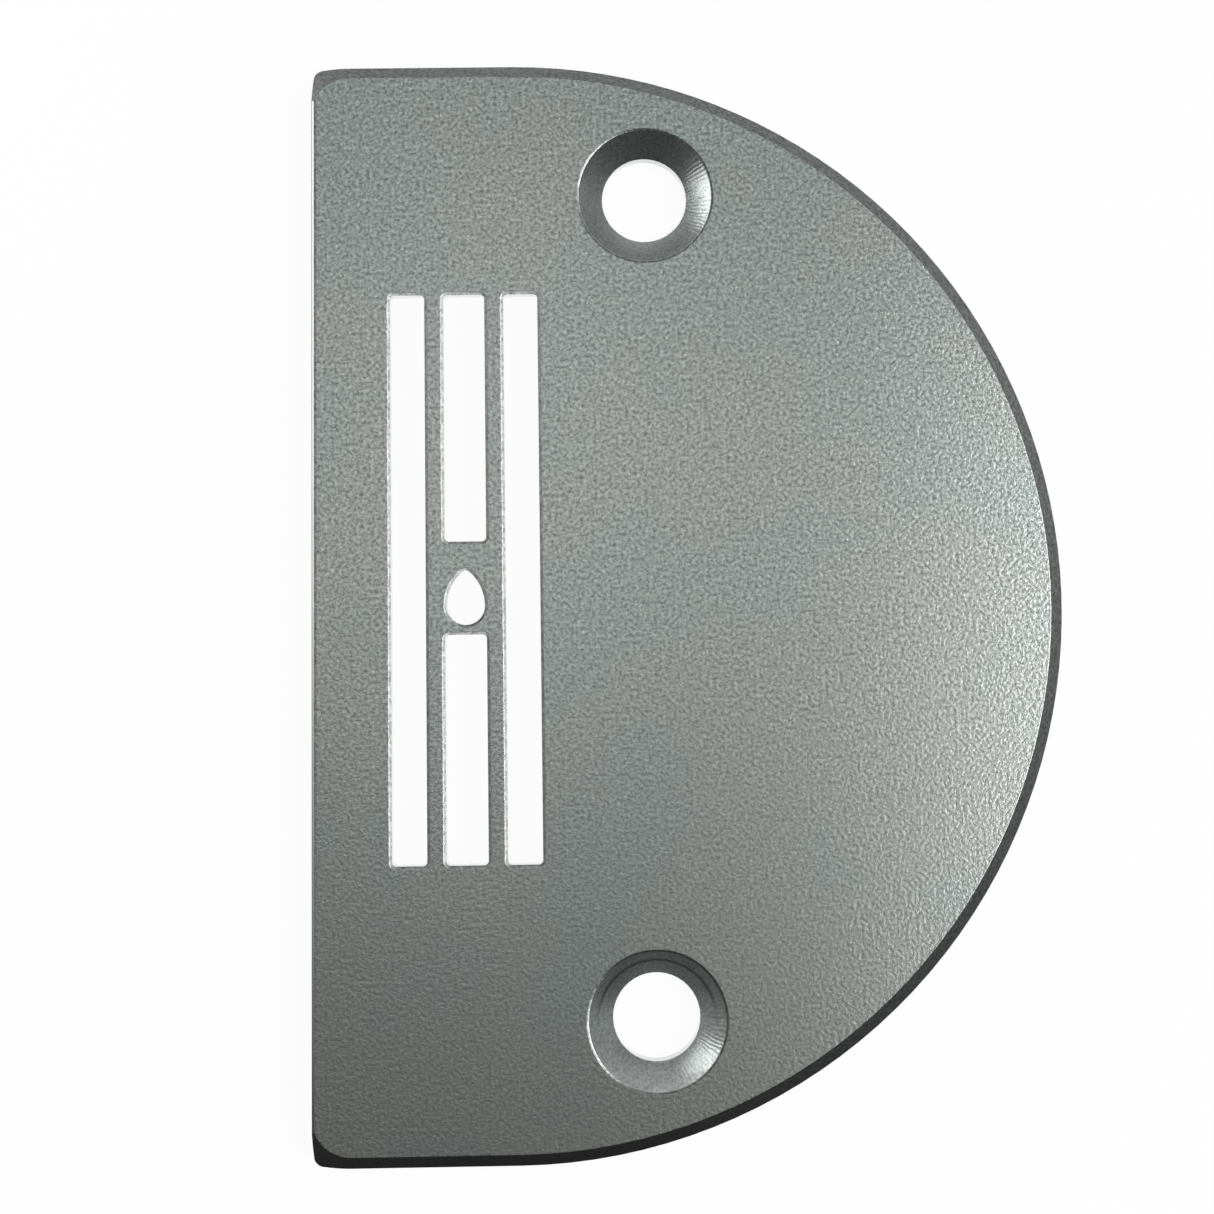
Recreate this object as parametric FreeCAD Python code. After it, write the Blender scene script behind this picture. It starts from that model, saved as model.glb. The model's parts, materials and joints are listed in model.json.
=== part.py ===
import FreeCAD, Part
import math
import os

from FreeCAD import Vector

# Needle plate of a lockstitch machine, in millimetres. It lies on its underside at z = 0.
# x runs from the straight edge to the arc, y along the straight edge, towards the rear of the bed.
# Places are measured from the arc's centre, and the finished plate is then centred on its own box.

# Outline: a straight edge, two flats and the half circle that joins them
arc_radius = 31.75
straight_edge = 11.75        # arc centre to the straight edge
thickness = 2.5
corner_radius = 0.5          # upright corners at both ends of the straight edge

# Edges: a 45 degree bevel round the arc and the flats, and light breaks elsewhere
bevel = 0.82
bevel_corner = 2.3           # top face's corner radius, where the bevel runs out on the straight edge
bevel_clear = 0.05           # the corner radius is tangent to a line this far outside the straight edge
edge_break = 0.15            # top edges of the straight side, the slots and the needle hole
under_break = 0.2            # lower edge of the rim and of the screw holes

# Needle hole, egg-shaped with its narrow end to the rear
needle_x = -2.88
needle_y = -0.13
needle_radius = 1.1          # round front end
tip_radius = 0.3             # narrow rear end
tip_offset = 1.74            # from the needle's axis to the centre of the narrow end

# Feed slots, two whole ones beside a centre one that the needle hole's bridge divides
outer_slot_width = 2.0
centre_slot_width = 2.4
slot_bar = 1.1               # bar left between neighbouring slots
slot_corner = 0.25
slot_rear = 18.1             # needle axis to the slots' rear ends
slot_front = 14.75           # needle axis to the slots' front ends
bridge_rear = 1.66           # bridge between the needle hole's tip and the centre slot
bridge_front = 0.56          # bridge in front of the needle hole

# Two countersunk screw holes on a line along y
screw_x = 7.8
screw_inset = 8.0            # from each flat to the hole's axis
screw_hole = 5.0             # diameter of the clearance hole
head_diameter = 7.8          # diameter of the cone at its mouth
head_angle = 90.0            # full angle of the cone, in degrees
rim_width = 0.12             # burnished rim round the cone's mouth
rim_drop = 0.04

# Relief milled in the underside, so that the web round the feed slots is thin
relief_depth = 1.5
relief_margin = 1.6          # past the slots, all round
relief_corner = 2.0

overshoot = 1.0              # how far a cutting shape runs past a face


def face_of(edges):
    return Part.Face(Part.Wire(edges))


def rounded_rectangle(x_min, x_max, y_min, y_max, radius, z):
    plain = Part.makePolygon([
        Vector(x_min, y_min, z), Vector(x_max, y_min, z),
        Vector(x_max, y_max, z), Vector(x_min, y_max, z), Vector(x_min, y_min, z),
    ])
    height = 1.0
    block = Part.Face(plain).extrude(Vector(0, 0, height))
    upright = [e for e in block.Edges if e.BoundBox.ZLength > height / 2]
    rounded = block.makeFillet(radius, upright)
    return min(rounded.Faces, key=lambda f: f.CenterOfMass.z)


def d_face(edge, half, corner, z):
    # straight edge at x = -edge, flats at y = +-half, half circle of radius half about x = 0
    turn = corner * (1 - math.sqrt(0.5))
    start, stop = Vector(0, -half, z), Vector(0, half, z)
    front_in, front_out = Vector(-edge + corner, -half, z), Vector(-edge, -half + corner, z)
    rear_in, rear_out = Vector(-edge + corner, half, z), Vector(-edge, half - corner, z)
    front_mid = Vector(-edge + turn, -half + turn, z)
    rear_mid = Vector(-edge + turn, half - turn, z)
    return face_of([
        Part.Arc(start, Vector(half, 0, z), stop).toShape(),
        Part.LineSegment(stop, rear_in).toShape(),
        Part.Arc(rear_in, rear_mid, rear_out).toShape(),
        Part.LineSegment(rear_out, front_out).toShape(),
        Part.Arc(front_out, front_mid, front_in).toShape(),
        Part.LineSegment(front_in, start).toShape(),
    ])


def blank():
    tall = thickness + overshoot
    return d_face(straight_edge, arc_radius, corner_radius, 0).extrude(Vector(0, 0, tall))


def bevel_envelope():
    # a larger D whose 45 degree top bevel comes down to the size of the top face, and misses the straight edge
    run = thickness
    base = d_face(straight_edge + bevel_clear + run, arc_radius - bevel + run, bevel_corner + run, -overshoot)
    solid = base.extrude(Vector(0, 0, thickness + overshoot))
    top_edges = [e for e in solid.Edges if e.BoundBox.ZMin > thickness - overshoot / 2]
    return solid.makeChamfer(run, top_edges)


def straight_edge_cutter():
    # a long wedge that breaks the straight side's top edge at 45 degrees
    side, top = -straight_edge, thickness
    wedge = Part.makePolygon([
        Vector(side - overshoot, -arc_radius, top - edge_break - overshoot),
        Vector(side + edge_break + overshoot, -arc_radius, top + overshoot),
        Vector(side - overshoot, -arc_radius, top + overshoot),
        Vector(side - overshoot, -arc_radius, top - edge_break - overshoot),
    ])
    return Part.Face(wedge).extrude(Vector(0, 2 * arc_radius, 0))


def egg_face(z):
    # round front end and narrow tip joined by two side arcs, each tangent to both ends
    side = (needle_radius**2 + tip_offset**2 - tip_radius**2) / (2 * (needle_radius - tip_radius))
    lean = math.atan2(tip_offset, side - needle_radius)

    def at(x, y):
        return Vector(needle_x + x, needle_y + y, z)

    def on_side(angle, sign):
        return at(sign * (needle_radius - side + side * math.cos(angle)), side * math.sin(angle))

    tip = at(0, tip_offset + tip_radius)
    right, left = at(needle_radius, 0), at(-needle_radius, 0)
    return face_of([
        Part.Arc(left, at(0, -needle_radius), right).toShape(),
        Part.Arc(right, on_side(lean / 2, 1), on_side(lean, 1)).toShape(),
        Part.Arc(on_side(lean, 1), tip, on_side(lean, -1)).toShape(),
        Part.Arc(on_side(lean, -1), on_side(lean / 2, -1), left).toShape(),
    ])


slot_pitch = centre_slot_width / 2 + slot_bar + outer_slot_width / 2
slot_y_min = needle_y - slot_front
slot_y_max = needle_y + slot_rear
bridge_y_min = needle_y - needle_radius - bridge_front
bridge_y_max = needle_y + tip_offset + tip_radius + bridge_rear


def slot(offset, width, y_min, y_max):
    x = needle_x + offset
    return rounded_rectangle(x - width / 2, x + width / 2, y_min, y_max, slot_corner, -overshoot)


def opening_cutters():
    faces = [slot(side * slot_pitch, outer_slot_width, slot_y_min, slot_y_max) for side in (-1, 1)]
    faces.append(slot(0, centre_slot_width, slot_y_min, bridge_y_min))
    faces.append(slot(0, centre_slot_width, bridge_y_max, slot_y_max))
    faces.append(egg_face(-overshoot))
    return [f.extrude(Vector(0, 0, thickness + 2 * overshoot)) for f in faces]


def relief_cutter():
    reach = slot_pitch + outer_slot_width / 2 + relief_margin
    floor = rounded_rectangle(
        needle_x - reach, needle_x + reach,
        slot_y_min - relief_margin, slot_y_max + relief_margin, relief_corner, -overshoot,
    )
    return floor.extrude(Vector(0, 0, overshoot + relief_depth))


def screw_cutter(y):
    # clearance hole, cone and burnished rim in one turned profile
    hole, head = screw_hole / 2, head_diameter / 2
    cone_top = thickness - rim_drop
    cone_foot = cone_top - (head - hole) / math.tan(math.radians(head_angle / 2))
    outline = [
        (0, -overshoot), (hole + under_break + overshoot, -overshoot), (hole, under_break),
        (hole, cone_foot), (head, cone_top), (head + rim_width, thickness),
        (head + rim_width, thickness + overshoot), (0, thickness + overshoot),
    ]
    points = [Vector(screw_x + r, y, z) for r, z in outline]
    return Part.Face(Part.makePolygon(points + points[:1])).revolve(Vector(screw_x, y, 0), Vector(0, 0, 1), 360)


def break_opening_edges(plate):
    # the openings are every inner loop of the top face, before the screw holes are cut
    top = max((f for f in plate.Faces if f.BoundBox.ZMin > thickness - edge_break / 2), key=lambda f: f.Area)
    inner = [e for w in top.Wires if not w.isSame(top.OuterWire) for e in w.Edges]
    return plate.makeChamfer(edge_break, inner)


def break_lower_rim(plate):
    seat = max((f for f in plate.Faces if f.BoundBox.ZMax < under_break / 2), key=lambda f: f.Area)
    return plate.makeChamfer(under_break, seat.OuterWire.Edges)


def needle_plate():
    plate = blank().common(bevel_envelope())
    plate = plate.cut([straight_edge_cutter()] + opening_cutters())
    plate = break_lower_rim(break_opening_edges(plate))
    screws = [screw_cutter(side * (arc_radius - screw_inset)) for side in (-1, 1)]
    plate = plate.cut([relief_cutter()] + screws)
    plate.translate(Vector((straight_edge - arc_radius) / 2, 0, 0))
    return plate.Solids[0]


os.makedirs("parts", exist_ok=True)
needle_plate().exportStep("parts/needle_plate.step")
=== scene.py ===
import json
import math

import bpy
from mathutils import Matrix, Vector


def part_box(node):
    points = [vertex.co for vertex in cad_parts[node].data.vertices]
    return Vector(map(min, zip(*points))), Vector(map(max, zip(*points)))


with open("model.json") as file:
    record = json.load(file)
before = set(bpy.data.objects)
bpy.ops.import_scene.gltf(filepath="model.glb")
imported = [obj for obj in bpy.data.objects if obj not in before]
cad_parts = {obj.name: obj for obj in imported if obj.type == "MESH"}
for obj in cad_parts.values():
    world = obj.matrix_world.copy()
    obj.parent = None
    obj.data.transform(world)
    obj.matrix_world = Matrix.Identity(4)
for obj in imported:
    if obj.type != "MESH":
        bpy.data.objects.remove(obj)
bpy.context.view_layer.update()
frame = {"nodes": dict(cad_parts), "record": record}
print("frame loaded")

mm = 0.001

# Where the plate's features are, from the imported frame
plateNode = frame["nodes"]["needle_plate"]
plateLow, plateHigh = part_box("needle_plate")
screwMount = next(m for m in frame["record"]["mounts"] if m["name"] == "screw_holes")
arcRadius = (plateHigh.y - plateLow.y) / 2
arcCentreX = plateHigh.x - arcRadius
screwX = screwMount["pos_m"][0]
screwY = screwMount["dims"]["spacing_y_mm"] / 2 * mm


# Small helpers for node trees

def addNode(tree, kind, **settings):
    node = tree.nodes.new(kind)
    for name, value in settings.items():
        setattr(node, name, value)
    return node


def feed(tree, node, name, value):
    # a socket takes a link from another socket, or a plain value
    socket = node.inputs[name]
    if isinstance(value, bpy.types.NodeSocket):
        tree.links.new(value, socket)
    elif value is not None:
        socket.default_value = value


def maths(tree, operation, a, b=None):
    node = addNode(tree, "ShaderNodeMath", operation=operation)
    feed(tree, node, 0, a)
    feed(tree, node, 1, b)
    return node.outputs[0]


def product(tree, *values):
    result = values[0]
    for value in values[1:]:
        result = maths(tree, "MULTIPLY", result, value)
    return result


def total(tree, *values):
    result = values[0]
    for value in values[1:]:
        result = maths(tree, "ADD", result, value)
    return result


def inverse(tree, value):
    return maths(tree, "SUBTRACT", 1.0, value)


def ramp(tree, value, low, high, toLow=0.0, toHigh=1.0, kind="SMOOTHSTEP"):
    node = addNode(tree, "ShaderNodeMapRange", interpolation_type=kind)
    for name, amount in (("Value", value), ("From Min", low), ("From Max", high),
                         ("To Min", toLow), ("To Max", toHigh)):
        feed(tree, node, name, amount)
    return node.outputs["Result"]


def ring(tree, radius, at, width):
    # 1 on a circle of the given radius, falling to 0 at half the width on either side
    away = maths(tree, "ABSOLUTE", maths(tree, "SUBTRACT", radius, at))
    return ramp(tree, away, width / 2, 0.0)


def toned(tree, mask, tone):
    # 1 off the mask, and the given tone on it
    return ramp(tree, mask, 0.0, 1.0, 1.0, tone, "LINEAR")


def blend(tree, factor, a, b):
    node = addNode(tree, "ShaderNodeMix")
    for index, value in zip((0, 2, 3), (factor, a, b)):
        feed(tree, node, index, value)
    return node.outputs[0]


def blendColour(tree, factor, a, b, kind="MIX"):
    node = addNode(tree, "ShaderNodeMix", data_type="RGBA", blend_type=kind)
    for index, value in zip((0, 6, 7), (factor, a, b)):
        feed(tree, node, index, value)
    return node.outputs[2]


def vector(tree, x, y, z):
    node = addNode(tree, "ShaderNodeCombineXYZ")
    for index, value in enumerate((x, y, z)):
        feed(tree, node, index, value)
    return node.outputs[0]


def noise(tree, place, scale, detail=2.0, roughness=0.5):
    node = addNode(tree, "ShaderNodeTexNoise")
    for name, value in (("Vector", place), ("Scale", scale),
                        ("Detail", detail), ("Roughness", roughness)):
        feed(tree, node, name, value)
    return node.outputs["Fac"]


# How the plate's areas are told apart. A tilt is the normal's z, and each pair is where an area
# begins and where it is full.

areaFacts = {
    "faceTilt": (0.86, 0.97),
    "underTilt": (-0.9, -0.97),
    "wallTilt": (0.5, 0.2),      # whichever way up
    "slopeTilt": (0.3, 0.5),
    "rimBlend": 0.1 * mm,
    "bevelSlopeY": (0.04, 0.12),     # the bevel leans to the front or the rear
    "bevelSlopeX": (-0.6, -0.3),     # or else away from the straight edge
    "openingInset": 1.0 * mm,    # openings' walls are further in than this from the straight edge
    "holeBlend": 0.05 * mm,
}

noiseSpread = (0.3, 0.7)         # where nearly all of a noise's values lie
fineNoise = 0.6                  # noise roughness that leaves more of the finest detail

# The plate's finishes, some of which carry painted light and shade in their colour. Scales are per
# metre.

blastFinish = {
    "coolColour": (0.346, 0.384, 0.367, 1.0),
    "warmColour": (0.372, 0.385, 0.367, 1.0),
    "patchScale": 110.0,
    "patchDetail": 3.0,
    "patchLean": 3.0,            # warmer to the front, per metre
    "patchLow": 0.42,
    "patchHigh": 0.62,
    "grainScale": 4800.0,
    "grainDepth": 0.019 * mm,
    "grainTone": 0.48,           # how much the grain lightens and darkens the colour
    "frontGrain": 0.45,          # share of that tone which is left at the front
    "grainFrontY": -24.0 * mm,
    "grainRearY": 8.0 * mm,
    "speckScale": 3900.0,
    "speckSize": 0.40,           # share of a speck's cell
    "speckGlintTone": 0.6,
    "speckRarity": 4.0,          # power of an even chance
    "roughness": 0.28,
}

bevelFinish = {
    "innerRadius": 28.4 * mm,    # only the rim slopes outside this
    "tint": (0.95, 1.0, 0.985),
    "frontY": -32.0 * mm,
    "rearY": 8.0 * mm,
    # painted shade and light: the bevel's tone runs from dark at the front to light at the rear
    "frontShadeTone": 0.004,
    "rearLightTone": 0.148,
    "frontMetal": 0.4,           # the front is painted so dark that it no longer mirrors like metal
    "mottleScale": 4600.0,
    "mottleTone": 0.42,
    "roughness": 0.42,
}

coneFinish = {
    "colour": (0.39, 0.415, 0.405, 1.0),
    "edgeRadius": 4.1 * mm,
    "lowest": 0.9 * mm,
    "ringScale": 9000.0,
    "ringDepth": 0.004 * mm,
    "chatterCount": 96.0,        # marks in one turn
    "wanderScale": 900.0,
    "chatterWander": 11.0,
    "chatterDepth": 0.003 * mm,
    "chatterFrom": 0.1,          # cosine of the angle away from the marked side
    "chatterSide": 0.3,          # that side's own angle, in radians
    "mottleScale": 6000.0,
    "mottleTone": 0.26,
    "stepRadius": 3.36 * mm,
    "stepWidth": 0.30 * mm,
    "stepTone": 0.35,
    "inwardY": (0.5 * mm, -2.0 * mm),    # from the hole's axis, towards the plate's middle
    # painted shade on the front hole's side towards the middle
    "inwardShadeTone": 0.72,
    "frontSlopeY": (0.1, -0.6),
    "frontShadeTone": 0.52,           # painted shade on walls that face the front
    "leftSlopeX": (-0.2, -0.65),
    "leftLightTone": 1.35,            # and painted light on those that face left
    "rimRadius": 3.97 * mm,      # burnished rim round the mouth
    "rimWidth": 0.20 * mm,
    "rimScale": 3200.0,
    "rimNoise": (0.4, 0.62),
    "rimLow": 0.12,
    "rimHigh": 0.42,
    "roughness": 0.28,
}

edgeFinish = {
    "colour": (0.60, 0.62, 0.61, 1.0),
    "glintScale": 4200.0,
    "glintTone": 0.4,
    "sideTone": 0.8,
    "leftLightTone": 0.5,             # painted light to the left of an opening
    "rearLightTone": 0.6,             # and to its rear
    "metal": 0.4,
    "straightWidth": 0.4 * mm,   # the straight edge's own break, with painted shade that darkens it to the front
    "brinkWidth": 0.09 * mm,     # painted shade also darkens its lower brink
    "brinkTone": 0.2,
    "darkLineAt": 0.24 * mm,         # a fine line on the face beside it is darker, fading out to the front
    "darkLineWidth": 0.20 * mm,
    "darkLineTone": 0.55,
    "frontY": -31.0 * mm,
    "rearY": 2.0 * mm,
    "straightFront": 0.06,
    "straightRear": 1.18,
    "roughness": 0.4,
}

wallFinish = {
    "colour": (0.33, 0.345, 0.335, 1.0),
    "lineScale": 9000.0,
    "lineDepth": 0.004 * mm,
    "lineTone": 0.22,
    "roughness": 0.38,
}

boreFinish = {
    "colour": (0.50, 0.52, 0.51, 1.0),
    "paintedGrazingReflection": (0.90, 0.92, 0.91, 1.0),  # painted reflection of the white floor, where it is seen at a low angle
    "grazingFacing": (0.6, 0.95),
    "roughness": 0.2,
}

underFinish = {
    "colour": (0.36, 0.37, 0.36, 1.0),
    "lineScale": 5000.0,
    "lineStretch": 0.03,         # scale along y, as a share
    "lineDepth": 0.006 * mm,
    "lineTone": 0.30,            # ground marks along the plate
    "stainScale": 150.0,
    "stainDetail": 4.0,
    "stainTone": 0.16,
    "roughness": 0.32,
}

edgeRadius = 0.08 * mm           # every edge is shaded as if it were rounded by this much
edgeSamples = 6


def plateMasks(tree):
    place = addNode(tree, "ShaderNodeTexCoord")
    spot = addNode(tree, "ShaderNodeSeparateXYZ")
    slope = addNode(tree, "ShaderNodeSeparateXYZ")
    tree.links.new(place.outputs["Object"], spot.inputs[0])
    tree.links.new(place.outputs["Normal"], slope.inputs[0])
    x, y, z = spot.outputs
    tilt = slope.outputs["Z"]

    masks = {"object": place.outputs["Object"], "x": x, "y": y, "z": z}
    masks["face"] = ramp(tree, tilt, *areaFacts["faceTilt"])
    masks["under"] = ramp(tree, tilt, *areaFacts["underTilt"])
    masks["wall"] = ramp(tree, maths(tree, "ABSOLUTE", tilt), *areaFacts["wallTilt"])
    sloping = ramp(tree, tilt, *areaFacts["slopeTilt"])
    slopes = product(tree, sloping, inverse(tree, masks["face"]))

    # distance from the arc's centre, or from the centre line between the flats
    roundX = maths(tree, "MAXIMUM", maths(tree, "SUBTRACT", x, arcCentreX), 0.0)
    rim = maths(tree, "SQRT", total(tree, product(tree, roundX, roundX), product(tree, y, y)))
    inner = bevelFinish["innerRadius"]
    outside = ramp(tree, rim, inner, inner + areaFacts["rimBlend"])
    masks["slopeX"], masks["slopeY"] = slope.outputs["X"], slope.outputs["Y"]
    leaning = maths(tree, "ABSOLUTE", masks["slopeY"])
    turned = maths(tree, "MAXIMUM", ramp(tree, leaning, *areaFacts["bevelSlopeY"]),
                   ramp(tree, masks["slopeX"], *areaFacts["bevelSlopeX"]))
    masks["bevel"] = product(tree, outside, slopes, turned)
    within = maths(tree, "GREATER_THAN", x, plateLow.x + areaFacts["openingInset"])
    masks["bore"] = product(tree, masks["wall"], inverse(tree, outside), within)

    # both screw holes are read as one, with y folded over
    screwDx = maths(tree, "SUBTRACT", x, screwX)
    screwDy = maths(tree, "SUBTRACT", maths(tree, "ABSOLUTE", y), screwY)
    screwSquare = total(tree, product(tree, screwDx, screwDx), product(tree, screwDy, screwDy))
    screwR = maths(tree, "SQRT", screwSquare)
    edge = coneFinish["edgeRadius"]
    inHole = ramp(tree, screwR, edge, edge - areaFacts["holeBlend"])
    above = maths(tree, "GREATER_THAN", z, coneFinish["lowest"])
    masks["cone"] = product(tree, inHole, above, slopes)
    masks["edge"] = product(tree, slopes, inverse(tree, masks["bevel"]),
                            inverse(tree, masks["cone"]))
    straight = edgeFinish["straightWidth"]
    masks["straight"] = ramp(tree, x, plateLow.x + straight, plateLow.x + straight / 2)
    masks["screwR"] = screwR
    masks["screwDy"] = screwDy
    masks["screwAngle"] = maths(tree, "ARCTAN2", screwDy, screwDx)
    return masks


def grainShade(tree, value, tone):
    # a noise value as a factor that is 1 on average
    return ramp(tree, value, *noiseSpread, 1.0 - tone, 1.0 + tone, "LINEAR")


def paintedBlastGlints(tree, masks):
    # painted glints: a few grains are painted lighter, as if they caught the light
    cells = addNode(tree, "ShaderNodeTexVoronoi", voronoi_dimensions="2D")
    feed(tree, cells, "Vector", masks["object"])
    feed(tree, cells, "Scale", blastFinish["speckScale"])
    speck = ramp(tree, cells.outputs["Distance"], blastFinish["speckSize"], 0.0)
    chance = addNode(tree, "ShaderNodeSeparateColor")
    tree.links.new(cells.outputs["Color"], chance.inputs[0])
    rare = maths(tree, "POWER", chance.outputs[0], blastFinish["speckRarity"])
    return product(tree, speck, rare, blastFinish["speckGlintTone"])


def shaded(tree, colour, shade, mask=1.0):
    return blendColour(tree, mask, colour, vector(tree, shade, shade, shade), "MULTIPLY")


def bevelColour(tree, masks):
    # painted shade and light: darker to the front and lighter to the rear, with the bevel's own
    # mottle on top
    tone = ramp(tree, masks["y"], bevelFinish["frontY"], bevelFinish["rearY"],
                bevelFinish["frontShadeTone"], bevelFinish["rearLightTone"], "LINEAR")
    mottle = noise(tree, masks["object"], bevelFinish["mottleScale"])
    tone = product(tree, tone, grainShade(tree, mottle, bevelFinish["mottleTone"]))
    red, green, blue = (product(tree, tone, share) for share in bevelFinish["tint"])
    return vector(tree, red, green, blue)


def coneColour(tree, masks):
    # the front hole's cone is painted darker on the side towards the middle, with a darker ring
    # part of the way up on that side
    step = ring(tree, masks["screwR"], coneFinish["stepRadius"], coneFinish["stepWidth"])
    inward = ramp(tree, masks["screwDy"], *coneFinish["inwardY"])
    inward = product(tree, inward, maths(tree, "LESS_THAN", masks["y"], 0.0))
    stepShade = toned(tree, product(tree, step, inward), coneFinish["stepTone"])
    paintedInwardShade = toned(tree, inward, coneFinish["inwardShadeTone"])
    # painted shade on walls that face the front, painted light on walls that face left
    paintedFrontShade = ramp(tree, masks["slopeY"], *coneFinish["frontSlopeY"],
                      1.0, coneFinish["frontShadeTone"])
    paintedLeftLight = ramp(tree, masks["slopeX"], *coneFinish["leftSlopeX"],
                     1.0, coneFinish["leftLightTone"])
    mottle = noise(tree, masks["object"], coneFinish["mottleScale"])
    shade = product(tree, stepShade, paintedInwardShade, paintedFrontShade, paintedLeftLight,
                    grainShade(tree, mottle, coneFinish["mottleTone"]))
    return shaded(tree, coneFinish["colour"], shade)


def edgeColour(tree, masks):
    # painted glints: the edge breaks' colour is lighter and darker in small patches
    glint = noise(tree, masks["object"], edgeFinish["glintScale"])
    shade = grainShade(tree, glint, edgeFinish["glintTone"])
    # painted shade on the straight edge's break: darker to the front, and darker at its lower brink
    paintedStraightShade = ramp(tree, masks["y"], edgeFinish["frontY"], edgeFinish["rearY"],
                         edgeFinish["straightFront"], edgeFinish["straightRear"], "LINEAR")
    # painted light to the left and rear of an opening, painted shade to its right and front
    paintedSideShade = total(tree, edgeFinish["sideTone"],
                      product(tree, masks["slopeX"], edgeFinish["leftLightTone"]),
                      product(tree, masks["slopeY"], -edgeFinish["rearLightTone"]))
    brink = ramp(tree, masks["x"], plateLow.x, plateLow.x + edgeFinish["brinkWidth"],
                 edgeFinish["brinkTone"], 1.0)
    paintedStraightShade = product(tree, paintedStraightShade, brink)
    shade = blend(tree, masks["straight"], product(tree, shade, paintedSideShade), paintedStraightShade)
    return shaded(tree, edgeFinish["colour"], shade)


def wallLines(tree, masks):
    return noise(tree, vector(tree, 0.0, 0.0, masks["z"]), wallFinish["lineScale"])


def groundLines(tree, masks):
    longY = product(tree, masks["y"], underFinish["lineStretch"])
    return noise(tree, vector(tree, masks["x"], longY, masks["z"]), underFinish["lineScale"],
                 roughness=fineNoise)


def underColour(tree, masks):
    stains = noise(tree, masks["object"], underFinish["stainScale"],
                   underFinish["stainDetail"], fineNoise)
    shade = product(tree, grainShade(tree, groundLines(tree, masks), underFinish["lineTone"]),
                    grainShade(tree, stains, underFinish["stainTone"]))
    return shaded(tree, underFinish["colour"], shade)


def plateColour(tree, masks, grain):
    patches = noise(tree, masks["object"], blastFinish["patchScale"], blastFinish["patchDetail"])
    patches = total(tree, patches, product(tree, masks["y"], -blastFinish["patchLean"]))
    warm = ramp(tree, patches, blastFinish["patchLow"], blastFinish["patchHigh"])
    colour = blendColour(tree, warm, blastFinish["coolColour"], blastFinish["warmColour"])
    strength = ramp(tree, masks["y"], blastFinish["grainFrontY"], blastFinish["grainRearY"],
                    blastFinish["frontGrain"], 1.0)
    shade = blend(tree, strength, 1.0, grainShade(tree, grain, blastFinish["grainTone"]))
    shade = total(tree, shade, product(tree, paintedBlastGlints(tree, masks), strength))
    colour = shaded(tree, colour, shade, masks["face"])

    # a fine darker line on the face beside the straight edge, fading out to the front
    darkFaceLine = ring(tree, masks["x"], plateLow.x + edgeFinish["darkLineAt"], edgeFinish["darkLineWidth"])
    darkFaceLine = product(tree, darkFaceLine, ramp(tree, masks["y"], edgeFinish["frontY"], edgeFinish["rearY"]))
    colour = shaded(tree, colour, toned(tree, darkFaceLine, edgeFinish["darkLineTone"]), masks["face"])

    # the rim round the cones' mouths is bright in places only
    worn = noise(tree, masks["object"], coneFinish["rimScale"])
    rimShade = ramp(tree, worn, *coneFinish["rimNoise"],
                    coneFinish["rimLow"], coneFinish["rimHigh"])
    onRim = ring(tree, masks["screwR"], coneFinish["rimRadius"], coneFinish["rimWidth"])
    colour = shaded(tree, colour, rimShade, onRim)

    colour = blendColour(tree, masks["edge"], colour, edgeColour(tree, masks))
    colour = blendColour(tree, masks["bevel"], colour, bevelColour(tree, masks))
    colour = blendColour(tree, masks["cone"], colour, coneColour(tree, masks))
    wallShade = grainShade(tree, wallLines(tree, masks), wallFinish["lineTone"])
    colour = blendColour(tree, masks["wall"], colour, shaded(tree, wallFinish["colour"], wallShade))
    # painted reflection: the bores' colour lightens where they are seen at a low angle
    facing = addNode(tree, "ShaderNodeLayerWeight").outputs["Facing"]
    paintedGrazingReflection = ramp(tree, facing, *boreFinish["grazingFacing"])
    bore = blendColour(tree, paintedGrazingReflection, boreFinish["colour"], boreFinish["paintedGrazingReflection"])
    colour = blendColour(tree, masks["bore"], colour, bore)
    return blendColour(tree, masks["under"], colour, underColour(tree, masks))


def plateHeight(tree, masks, grain):
    # heights in millimetres, as the bump's distance is one millimetre
    blast = product(tree, grain, blastFinish["grainDepth"] / mm, masks["face"])

    wander = noise(tree, masks["object"], coneFinish["wanderScale"])
    turn = product(tree, masks["screwAngle"], coneFinish["chatterCount"])
    turn = total(tree, turn, product(tree, wander, coneFinish["chatterWander"]))
    offSide = maths(tree, "SUBTRACT", masks["screwAngle"], coneFinish["chatterSide"])
    marked = ramp(tree, maths(tree, "COSINE", offSide), coneFinish["chatterFrom"], 1.0)
    chatter = product(tree, maths(tree, "SINE", turn), marked, coneFinish["chatterDepth"] / mm)
    rings = noise(tree, vector(tree, masks["screwR"], 0.0, 0.0), coneFinish["ringScale"])
    rings = product(tree, rings, coneFinish["ringDepth"] / mm)
    cone = product(tree, total(tree, chatter, rings), masks["cone"])

    wall = product(tree, wallLines(tree, masks), wallFinish["lineDepth"] / mm, masks["wall"])
    under = product(tree, groundLines(tree, masks), underFinish["lineDepth"] / mm, masks["under"])
    return total(tree, blast, cone, wall, under)


def plateRoughness(tree, masks):
    roughness = blastFinish["roughness"]
    for name, finish in (("edge", edgeFinish), ("bevel", bevelFinish), ("cone", coneFinish),
                         ("wall", wallFinish), ("bore", boreFinish), ("under", underFinish)):
        roughness = blend(tree, masks[name], roughness, finish["roughness"])
    return roughness


def plateMetal(tree, masks):
    # less metal to the front goes with the bevel's painted shade there
    bevelMetal = ramp(tree, masks["y"], bevelFinish["frontY"], bevelFinish["rearY"],
                      bevelFinish["frontMetal"], 1.0, "LINEAR")
    edgeMetal = blend(tree, masks["straight"], edgeFinish["metal"], 1.0)
    metal = blend(tree, masks["edge"], 1.0, edgeMetal)
    return blend(tree, masks["bevel"], metal, bevelMetal)


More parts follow.
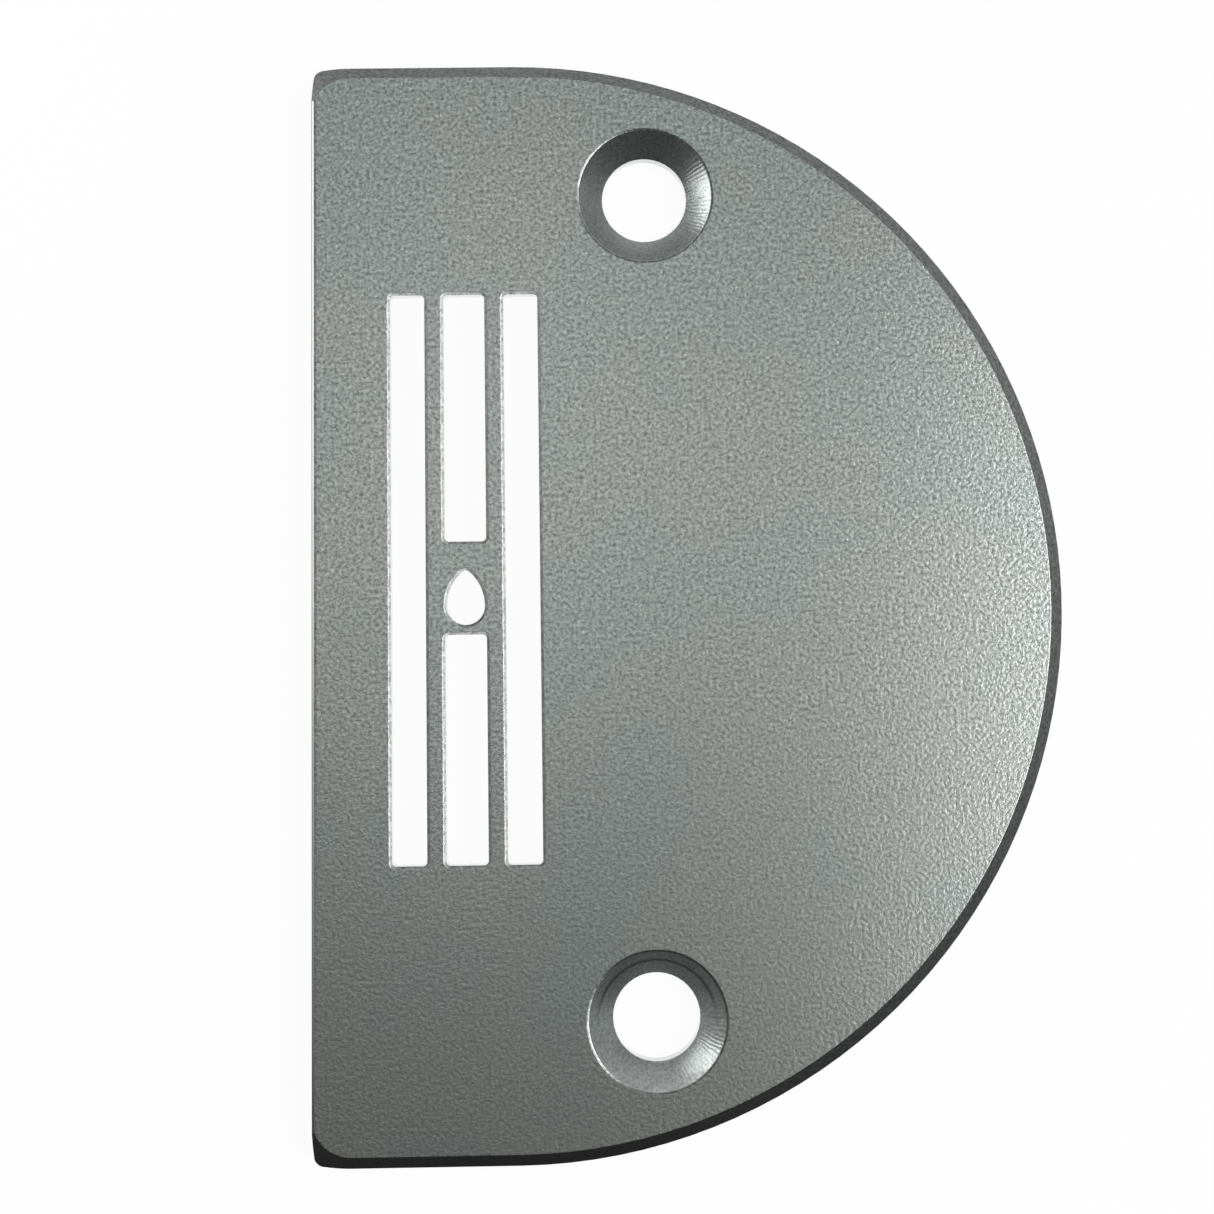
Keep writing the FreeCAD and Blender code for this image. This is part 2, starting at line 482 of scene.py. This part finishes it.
def plateMaterial():
    material = bpy.data.materials.new("satinPlatedSteel")
    material.use_nodes = True
    tree = material.node_tree
    shader = tree.nodes["Principled BSDF"]
    shader.inputs["Specular IOR Level"].default_value = 0.0
    masks = plateMasks(tree)
    grain = noise(tree, masks["object"], blastFinish["grainScale"], roughness=fineNoise)

    feed(tree, shader, "Base Color", plateColour(tree, masks, grain))
    feed(tree, shader, "Roughness", plateRoughness(tree, masks))
    feed(tree, shader, "Metallic", plateMetal(tree, masks))

    rounded = addNode(tree, "ShaderNodeBevel", samples=edgeSamples)
    feed(tree, rounded, "Radius", edgeRadius)
    bump = addNode(tree, "ShaderNodeBump")
    feed(tree, bump, "Distance", mm)
    feed(tree, bump, "Height", plateHeight(tree, masks, grain))
    feed(tree, bump, "Normal", rounded.outputs["Normal"])
    feed(tree, shader, "Normal", bump.outputs["Normal"])
    return material


plateNode.material_slots[0].material = plateMaterial()
print("plate finished")


# Floor: white where it is seen, with the plate's shadow kept in the share that the lamps light

floorFacts = {"half": 2.0, "colour": (0.9, 0.9, 0.9, 1.0), "whiteShare": 0.95}


def floorMaterial():
    material = bpy.data.materials.new("paleFloor")
    material.use_nodes = True
    tree = material.node_tree
    tree.nodes.clear()
    output = addNode(tree, "ShaderNodeOutputMaterial")
    lit = addNode(tree, "ShaderNodeBsdfDiffuse")
    lit.inputs["Color"].default_value = floorFacts["colour"]
    white = addNode(tree, "ShaderNodeEmission")
    rays = addNode(tree, "ShaderNodeLightPath")
    seen = maths(tree, "MAXIMUM", rays.outputs["Is Camera Ray"], rays.outputs["Is Glossy Ray"])
    seen = maths(tree, "MAXIMUM", seen, rays.outputs["Is Transmission Ray"])
    mixed = addNode(tree, "ShaderNodeMixShader")
    feed(tree, mixed, 0, product(tree, seen, floorFacts["whiteShare"]))
    tree.links.new(lit.outputs[0], mixed.inputs[1])
    tree.links.new(white.outputs[0], mixed.inputs[2])

    # from below the floor isn't there, so that the underside can be looked at
    clear = addNode(tree, "ShaderNodeBsdfTransparent")
    side = addNode(tree, "ShaderNodeNewGeometry")
    both = addNode(tree, "ShaderNodeMixShader")
    tree.links.new(side.outputs["Backfacing"], both.inputs[0])
    tree.links.new(mixed.outputs[0], both.inputs[1])
    tree.links.new(clear.outputs[0], both.inputs[2])
    tree.links.new(both.outputs[0], output.inputs["Surface"])
    return material


bpy.ops.object.select_all(action="DESELECT")
bpy.ops.mesh.primitive_plane_add(size=2 * floorFacts["half"], location=(0, 0, plateLow.z))
floor = bpy.context.object
floor.name = "floor"
floor.data.materials.append(floorMaterial())
print("floor laid")


# Room light: a surround that darkens towards the front, and soft panels

roomFacts = {
    "front": 0.06,
    "rear": 0.70,
    "frontY": -0.8,
    "rearY": 0.9,
    "low": 0.24,                 # nowhere darker than this near the horizon
    "lowFrom": 0.6,              # heights on the unit sphere
    "lowTo": 0.2,
}

panels = {
    # brightness 1 shows as white in a mirror
    "right": {"place": (0.2845, -0.0386, 0.3465), "size": (0.307, 0.276), "brightness": 5.7},
    "overhead": {"place": (-0.044, 0.0372, 0.446), "size": (0.175, 0.168), "brightness": 0.62},
    "lowLeft": {"place": (-0.075, 0.038, 0.012), "size": (0.08, 0.018), "brightness": 3.0},
}


def roomWorld():
    world = bpy.data.worlds.new("softRoom")
    world.use_nodes = True
    tree = world.node_tree
    direction = addNode(tree, "ShaderNodeTexCoord")
    parts = addNode(tree, "ShaderNodeSeparateXYZ")
    tree.links.new(direction.outputs["Generated"], parts.inputs[0])
    tone = ramp(tree, parts.outputs["Y"], roomFacts["frontY"], roomFacts["rearY"],
                roomFacts["front"], roomFacts["rear"])
    low = ramp(tree, parts.outputs["Z"], roomFacts["lowFrom"], roomFacts["lowTo"],
               0.0, roomFacts["low"])
    tone = maths(tree, "MAXIMUM", tone, low)
    feed(tree, tree.nodes["Background"], "Color", tone)
    return world


def softPanel(name, place, size, brightness):
    lamp = bpy.data.lights.new(name, "AREA")
    lamp.shape = "RECTANGLE"
    lamp.size, lamp.size_y = size
    lamp.energy = math.pi * size[0] * size[1] * brightness
    panel = bpy.data.objects.new(name, lamp)
    panel.location = place
    panel.rotation_euler = (-Vector(place)).to_track_quat("-Z", "Y").to_euler()
    panel.visible_camera = False
    bpy.context.scene.collection.objects.link(panel)


bpy.context.scene.world = roomWorld()
for panelName, facts in panels.items():
    softPanel(panelName, **facts)
print("lights set")


# Camera: above the plate and tipped a little to the rear, as the photograph was taken

cameraFacts = {
    "place": (-6.415 * mm, -0.75 * mm, 110.214 * mm),
    "turn": (4.844, -0.792, -0.783),     # degrees about x, y and z
    "imageSide": 1214.0,                 # pixels
    "focal": 1864.5,                     # pixels
    "axisPixel": (604.06, 457.0),        # where the lens axis meets the picture
    "sensor": 36.0,                      # millimetres
    "farthest": 20.0,
}


def setCamera():
    data = bpy.data.cameras.new("camera")
    side = cameraFacts["imageSide"]
    data.sensor_width = cameraFacts["sensor"]
    data.lens = cameraFacts["focal"] / side * cameraFacts["sensor"]
    data.shift_x = (side / 2 - cameraFacts["axisPixel"][0]) / side
    data.shift_y = (cameraFacts["axisPixel"][1] - side / 2) / side
    data.clip_start = mm
    data.clip_end = cameraFacts["farthest"]
    camera = bpy.data.objects.new("camera", data)
    camera.location = cameraFacts["place"]
    camera.rotation_euler = [math.radians(a) for a in cameraFacts["turn"]]
    bpy.context.scene.collection.objects.link(camera)
    bpy.context.scene.camera = camera


setCamera()
bpy.context.scene.view_settings.view_transform = "Standard"
print("camera set")
